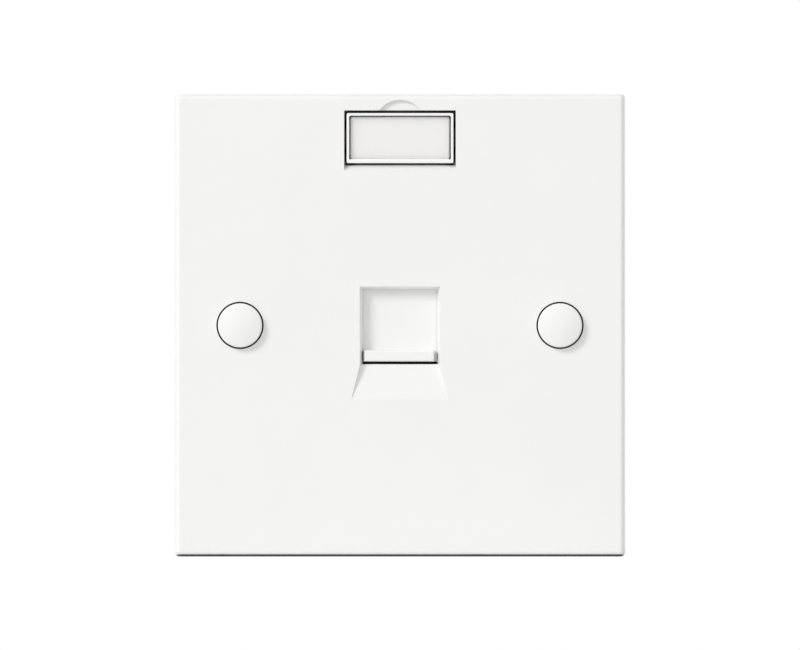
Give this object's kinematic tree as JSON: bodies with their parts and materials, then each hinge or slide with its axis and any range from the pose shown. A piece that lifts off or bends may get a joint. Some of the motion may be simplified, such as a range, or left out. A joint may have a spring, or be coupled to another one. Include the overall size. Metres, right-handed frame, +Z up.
{
  "type": "keystone faceplate",
  "caption": "Square wall faceplate with a spring-loaded shutter over a keystone port, a clear label window, push-fit screw caps and a rear jack carrier.",
  "frame": {"origin": "centre of the back rim, in the wall plane, midway between the two fixing screws", "axes": "+Y into the wall, so the face looks along -Y; +Z up, label window at the top; +X to the right as seen by someone facing the plate"},
  "size_m": [0.0848, 0.0308, 0.087],
  "materials": {
    "plate_plastic": "white moulded plastic, fine satin",
    "carrier_plastic": "natural white moulded plastic, matt",
    "clear_plastic": "clear moulded plastic, polished",
    "card": "blank uncoated card",
    "spring_steel": "bright drawn spring wire",
    "zinc_steel": "clear zinc plate"
  },
  "bodies": {
    "plate": {"faceplate": "plate_plastic", "jack_carrier": "carrier_plastic", "label_card": "card", "shutter_spring_left": "spring_steel", "shutter_spring_right": "spring_steel", "mounting_screw_left": "zinc_steel", "mounting_screw_right": "zinc_steel", "carrier_screw_upper_left": "zinc_steel", "carrier_screw_upper_right": "zinc_steel", "carrier_screw_lower_left": "zinc_steel", "carrier_screw_lower_right": "zinc_steel"},
    "shutter": {"shutter": "plate_plastic"},
    "label_cover": {"label_cover": "clear_plastic"},
    "screw_cap_left": {"screw_cap_left": "plate_plastic"},
    "screw_cap_right": {"screw_cap_right": "plate_plastic"}
  },
  "joints": [
    {"name": "shutter_slide", "type": "slide", "parent": "plate", "child": "shutter", "axis": [0, 0, 1], "range_m": [0, 0.0114], "stiffness_N_per_m": 200, "springref_m": -0.003, "deforming": ["shutter_spring_left", "shutter_spring_right"]},
    {"name": "label_cover_pull", "type": "slide", "parent": "plate", "child": "label_cover", "axis": [0, -1, 0], "range_m": [0, 0.01]},
    {"name": "screw_cap_left_pull", "type": "slide", "parent": "plate", "child": "screw_cap_left", "axis": [0, -1, 0], "range_m": [0, 0.012]},
    {"name": "screw_cap_right_pull", "type": "slide", "parent": "plate", "child": "screw_cap_right", "axis": [0, -1, 0], "range_m": [0, 0.012]}
  ]
}
